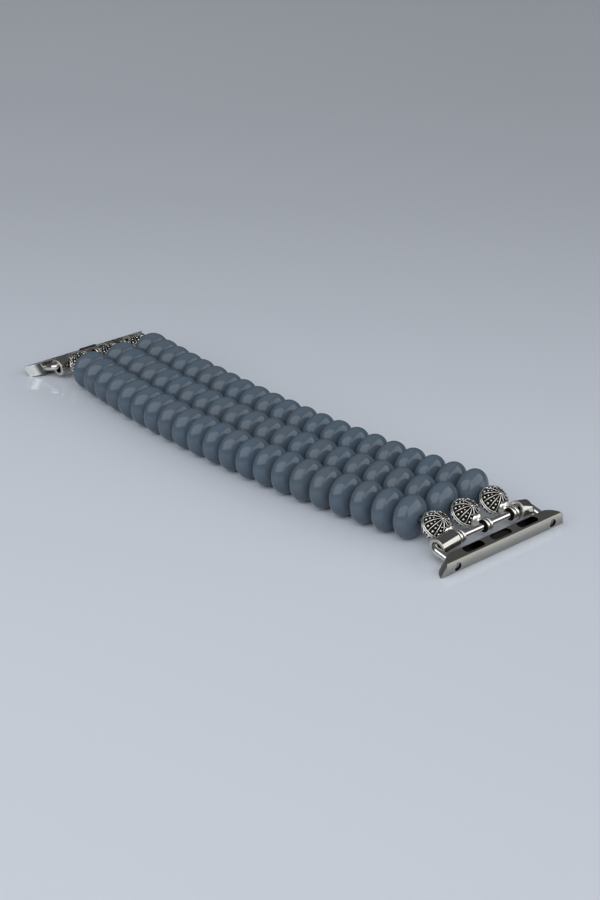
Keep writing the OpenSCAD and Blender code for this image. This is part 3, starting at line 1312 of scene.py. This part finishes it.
@dataclass(frozen=True)
class Lamp:
    """A rectangular softbox that looks at the band.

    Bearing and height are its direction from the band in degrees, the bearing counted from +X.
    """

    name: str
    bearing: float
    height: float
    distance: float
    size: tuple[float, float]
    radiance: float
    colour: Colour = (0.95, 0.98, 1.0)

    def place(self) -> Vector:
        """Returns the softbox's centre."""
        height, bearing = math.radians(self.height), math.radians(self.bearing)
        flat = self.distance * math.cos(height)
        return Vector((
            flat * math.cos(bearing), flat * math.sin(bearing), self.distance * math.sin(height)
        ))

    def build(self) -> Piece:
        """Makes the lamp.

        Returns:
            The lamp's object.
        """
        data = bpy.data.lights.new(self.name, "AREA")
        data.shape = "RECTANGLE"
        data.size, data.size_y = self.size
        data.energy = self.radiance * math.pi * self.size[0] * self.size[1]
        data.color = self.colour
        lamp = show(self.name, data)
        lamp.location = self.place()
        lamp.rotation_mode = "QUATERNION"
        lamp.rotation_quaternion = (-self.place()).to_track_quat("-Z", "Y")
        return lamp


@dataclass
class Studio:
    """The table, the softboxes, the dim room round them and the camera.

    Horizon and room are the colours that mirrors see at eye level and overhead, and overhead is
    the height on the unit sphere from which on the room colour is full. Fill is the colour that
    lights matt surfaces.
    """

    finishes: Finishes
    table_half: float = 3.0
    camera_place: tuple[float, float, float] = (0.244005, -0.232387, 0.139679)
    camera_pitch: float = 22.68
    camera_turn: float = 45.57
    lens: float = 83.56
    sensor: float = 36.0
    clip: Span = (0.01, 20.0)
    horizon: Colour = (0.05, 0.052, 0.056)
    room: Colour = (0.125, 0.128, 0.134)
    overhead: float = 0.6
    fill: Colour = (0.32, 0.325, 0.335)
    lamps: tuple[Lamp, ...] = (
        Lamp("left_softbox", -65.0, 40.0, 0.9, (1.76, 0.9), 1.75),
        Lamp("right_softbox", 31.0, 19.0, 0.9, (1.24, 0.56), 1.6),
    )

    def table(self) -> None:
        """Lays the table top."""
        mesh = bpy.data.meshes.new("table")
        h = self.table_half
        mesh.from_pydata([(-h, -h, 0), (h, -h, 0), (h, h, 0), (-h, h, 0)], [], [(0, 1, 2, 3)])
        mesh.materials.append(self.finishes.table)
        table = show("table", mesh)
        table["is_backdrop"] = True

    def surroundings(self) -> None:
        """Sets the room's light, brighter overhead than at the sides, with an even fill."""
        world = bpy.data.worlds.new("room")
        bpy.context.scene.world = world
        world.use_nodes = True
        n = NodeTree(world.node_tree)
        coords = n.add("ShaderNodeTexCoord")
        split = n.add("ShaderNodeSeparateXYZ", {"Vector": coords.outputs["Generated"]})
        height = n.ramp(split.outputs["Z"], 0.0, 1.0, (0.0, self.overhead))
        room = n.mix(height, self.horizon, self.room)
        path = n.add("ShaderNodeLightPath")
        background = n.tree.nodes["Background"]
        n.put(background.inputs["Color"], n.mix(path.outputs["Is Diffuse Ray"], room, self.fill))
        n.put(background.inputs["Strength"], 1.0)

    def camera(self) -> None:
        """Puts the camera where the photograph was taken from."""
        data = bpy.data.cameras.new("camera")
        data.lens = self.lens
        data.sensor_width = self.sensor
        data.clip_start, data.clip_end = self.clip
        camera = show("camera", data)
        camera.location = self.camera_place
        pitch, turn = math.radians(90.0 - self.camera_pitch), math.radians(self.camera_turn)
        camera.rotation_euler = (pitch, 0.0, turn)
        bpy.context.scene.camera = camera

    def build(self) -> None:
        """Makes the whole set."""
        self.table()
        self.surroundings()
        for lamp in self.lamps:
            lamp.build()
        self.camera()
        bpy.context.scene.view_settings.view_transform = "Standard"


def write_sizes() -> None:
    """Works out the CAD box and the visual model's box as plain lists; nothing is written."""
    boxes = {"cad": CAD_BOX, "visual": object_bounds()}
    {key: [list(corner) for corner in box] for key, box in boxes.items()}


def main() -> None:
    """Builds the scene, one sub-assembly after another."""
    logging.basicConfig(level=logging.INFO, format="%(message)s")
    finishes = Finishes()
    pieces = StoneRows(PLAN, finishes).build()
    pieces += CordRuns(PLAN, finishes).build()
    cast = CastEndBead(PLAN, finishes)
    pieces += [cast.build(side, strand) for side in Side for strand in Strand]
    pieces += Sleeves(PLAN, finishes).build()
    pieces += LockSprings(finishes).build()
    Hardware(finishes).dress()
    LOG.info("%d pieces, %d faces", len(pieces), sum(len(p.data.polygons) for p in pieces))
    Studio(finishes).build()
    write_sizes()


if __name__ == "__main__":
    main()
